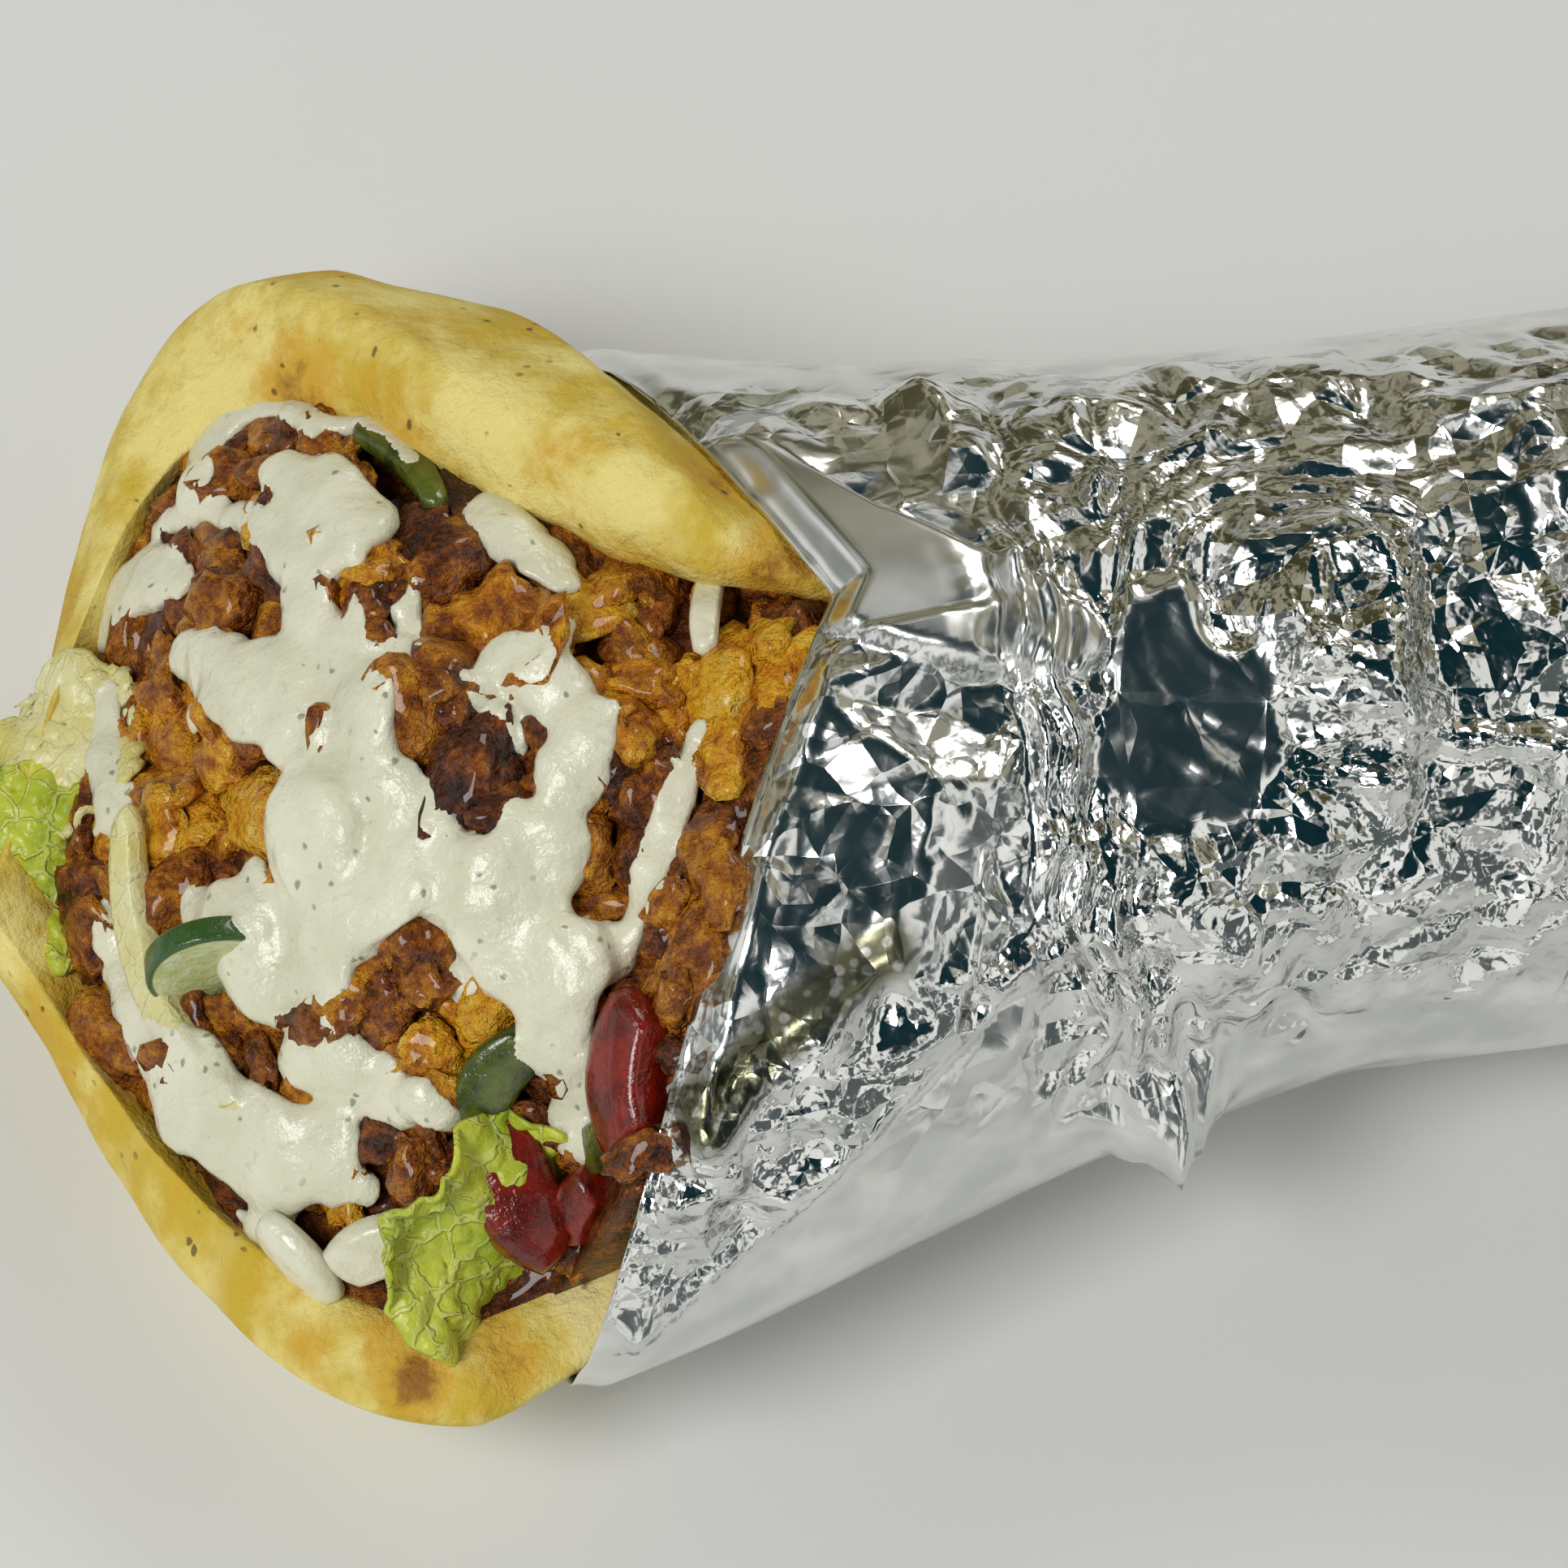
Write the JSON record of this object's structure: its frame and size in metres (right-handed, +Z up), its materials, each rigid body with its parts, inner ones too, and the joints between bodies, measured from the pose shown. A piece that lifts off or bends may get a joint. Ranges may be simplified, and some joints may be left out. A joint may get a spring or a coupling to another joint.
{
  "type": "gyro wrap",
  "caption": "Gyro wrap lying on its back: a thick flatbread cone heaped with roast meat, salad and white sauce, its closed end in crumpled aluminium foil.",
  "frame": {"origin": "under the middle of the whole wrap, on the surface that it lies on", "axes": "+X along the wrap from its open mouth to its foil tail, +Z up, +Y to the side where the bread folds over"},
  "size_m": [0.2204, 0.1168, 0.0662],
  "materials": {
    "bread": "soft baked flatbread with toasted patches",
    "foil": "crumpled household foil, bright",
    "meat": "roasted, juicy, brown to golden",
    "sauce": "thick wet white sauce with herb specks",
    "tomato": "wet raw tomato",
    "green_leaf": "fresh ruffled lettuce",
    "pale_leaf": "pale crisp lettuce",
    "cucumber": "wet cucumber with green skin",
    "pepper": "dark green pepper",
    "onion": "raw white onion"
  },
  "bodies": {
    "root": {"bread": "bread", "foil": "foil", "filling": "meat", "sauce": "sauce", "sauce_dollop_1": "sauce", "tomato_wedge": "tomato", "tomato_chunk": "tomato", "tomato_dice": "tomato", "lettuce_front": "green_leaf", "lettuce_lip": "green_leaf", "iceberg_leaf": "pale_leaf", "iceberg_rib": "pale_leaf", "cucumber_slice": "cucumber", "pepper_piece": "pepper", "pepper_slice": "pepper", "pepper_strip": "pepper", "onion_piece": "onion", "onion_chunk": "onion", "onion_strip": "onion"}
  },
  "joints": []
}
